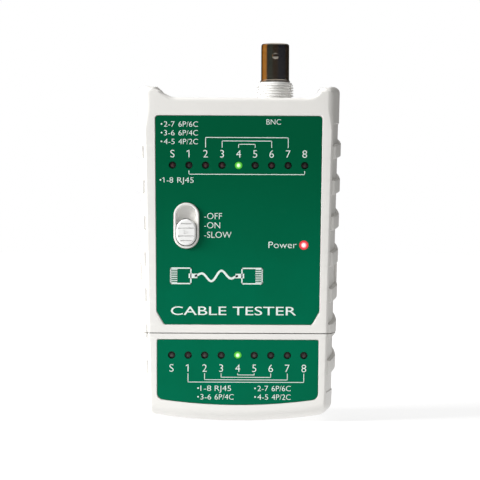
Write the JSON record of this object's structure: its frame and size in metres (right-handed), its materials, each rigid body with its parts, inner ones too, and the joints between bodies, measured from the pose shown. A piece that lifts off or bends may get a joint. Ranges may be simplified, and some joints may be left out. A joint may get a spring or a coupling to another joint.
{
  "type": "network cable tester",
  "caption": "Hand-held network cable tester with lamp rows, slide switch, coaxial and modular sockets, and a detachable remote end.",
  "frame": {"origin": "lowest point of the curved lower end, half way across the width and the depth of the bounding box", "axes": "+Z runs from the remote end up to the coaxial socket, -Y is the face with the lamps and labels, +X is to the right of that face"},
  "size_m": [0.0708, 0.0302, 0.1289],
  "materials": {
    "shell_plastic": "fine moulded texture",
    "label_film": "satin printed polycarbonate film",
    "knob_plastic": "satin",
    "socket_white": "satin",
    "nickel_plate": "polished nickel plate",
    "socket_insulator": "waxy",
    "gold_plate": "thin gold plate",
    "jack_plastic": "satin",
    "circuit_board": "solder mask on glass epoxy",
    "lamp_unlit": "dark tinted lens",
    "lamp_green": "lit lens",
    "lamp_power": "lit lens",
    "chip_plastic": "moulded epoxy",
    "switch_frame": "tinned steel",
    "battery_wrap": "printed steel can",
    "snap_vinyl": "soft vinyl",
    "red_wire": "insulation",
    "black_wire": "insulation",
    "screw_steel": "zinc plated"
  },
  "bodies": {
    "master": {"master_front_shell": "shell_plastic", "master_rear_shell": "shell_plastic", "master_label": "label_film", "master_case_screw_1": "screw_steel", "master_case_screw_2": "screw_steel", "master_case_screw_3": "screw_steel", "master_case_screw_4": "screw_steel", "master_circuit_board": "circuit_board", "master_led_s": "lamp_unlit", "master_led_1": "lamp_unlit", "master_led_2": "lamp_unlit", "master_led_3": "lamp_unlit", "master_led_4": "lamp_green", "master_led_5": "lamp_unlit", "master_led_6": "lamp_unlit", "master_led_7": "lamp_unlit", "master_led_8": "lamp_unlit", "power_led": "lamp_power", "slide_switch_body": "switch_frame", "sequencer_chip": "chip_plastic", "lamp_driver_chip": "chip_plastic", "bnc_housing": "socket_white", "bnc_barrel": "nickel_plate", "bnc_insulator": "socket_insulator", "bnc_centre_contact": "gold_plate", "master_jack_housing": "jack_plastic", "master_jack_contacts": "gold_plate", "battery_9v": "battery_wrap", "battery_snap": "snap_vinyl", "battery_lead_red": "red_wire", "battery_lead_black": "black_wire"},
    "knob": {"switch_knob": "knob_plastic", "slide_switch_slider": "knob_plastic"},
    "door": {"battery_door": "shell_plastic"},
    "remote": {"remote_front_shell": "shell_plastic", "remote_rear_shell": "shell_plastic", "remote_label": "label_film", "remote_circuit_board": "circuit_board", "remote_led_s": "lamp_unlit", "remote_led_1": "lamp_unlit", "remote_led_2": "lamp_unlit", "remote_led_3": "lamp_unlit", "remote_led_4": "lamp_green", "remote_led_5": "lamp_unlit", "remote_led_6": "lamp_unlit", "remote_led_7": "lamp_unlit", "remote_led_8": "lamp_unlit", "remote_jack_housing": "jack_plastic", "remote_jack_contacts": "gold_plate", "remote_case_screw_1": "screw_steel", "remote_case_screw_2": "screw_steel"}
  },
  "joints": [
    {"name": "switch_slide", "type": "slide", "parent": "master", "child": "knob", "axis": [0, 0, 1], "range_m": [0, 0.0045]},
    {"name": "battery_door_slide", "type": "slide", "parent": "master", "child": "door", "axis": [0, 0.9578, 0.2873], "range_m": [0, 0.03]},
    {"name": "remote_undock", "type": "slide", "parent": "remote", "child": "master", "axis": [0, 0, 1], "range_m": [0, 0.035]}
  ]
}
